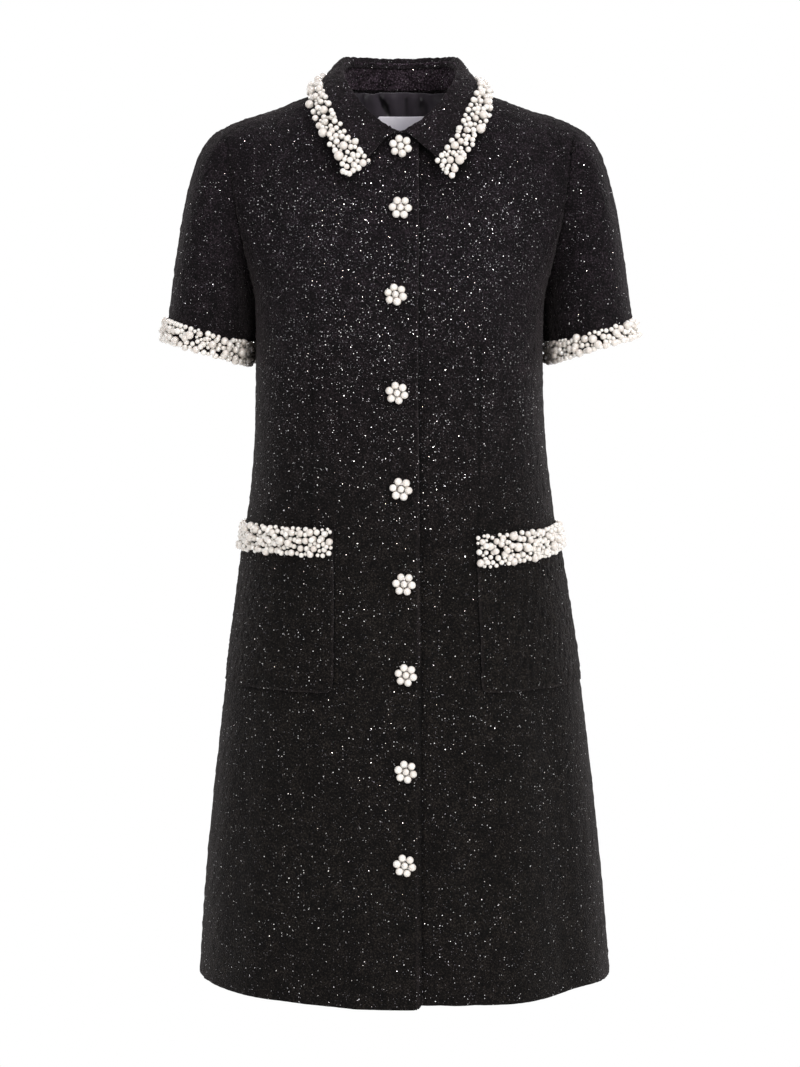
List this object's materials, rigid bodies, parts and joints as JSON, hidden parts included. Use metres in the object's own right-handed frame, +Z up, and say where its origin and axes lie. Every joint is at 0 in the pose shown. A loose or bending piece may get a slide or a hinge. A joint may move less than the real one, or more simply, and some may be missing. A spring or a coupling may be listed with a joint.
{
  "type": "shift dress",
  "caption": "Short-sleeved black tweed shift dress, hollow and open as if worn, with a pointed collar, patch pockets, pearl bands and a full-length button front.",
  "frame": {"origin": "middle of the neck, level with the neck ends of the shoulder seams, where the wearer holds the dress up", "axes": "+Z up, front of the dress towards -Y, wearer's right side at -X"},
  "size_m": [0.493, 0.333, 0.9474],
  "materials": {
    "tweed": "nubbly black boucle tweed with fine silver glitter",
    "satin": "smooth dark violet-grey lining satin",
    "label": "blank pale woven satin label",
    "pearl": "cream imitation pearl, glossy"
  },
  "bodies": {
    "root": {"front_right": "tweed", "front_left": "tweed", "back": "tweed", "sleeve_right": "tweed", "sleeve_left": "tweed", "collar_stand": "tweed", "collar_leaf": "tweed", "pocket_right": "tweed", "pocket_left": "tweed", "back_lining": "satin", "label": "label", "collar_trim": "pearl", "cuff_trim_right": "pearl", "cuff_trim_left": "pearl", "pocket_trim_right": "pearl", "pocket_trim_left": "pearl", "button_1": "pearl", "button_2": "pearl", "button_3": "pearl", "button_4": "pearl", "button_5": "pearl", "button_6": "pearl", "button_7": "pearl", "button_8": "pearl", "button_9": "pearl"}
  },
  "joints": []
}
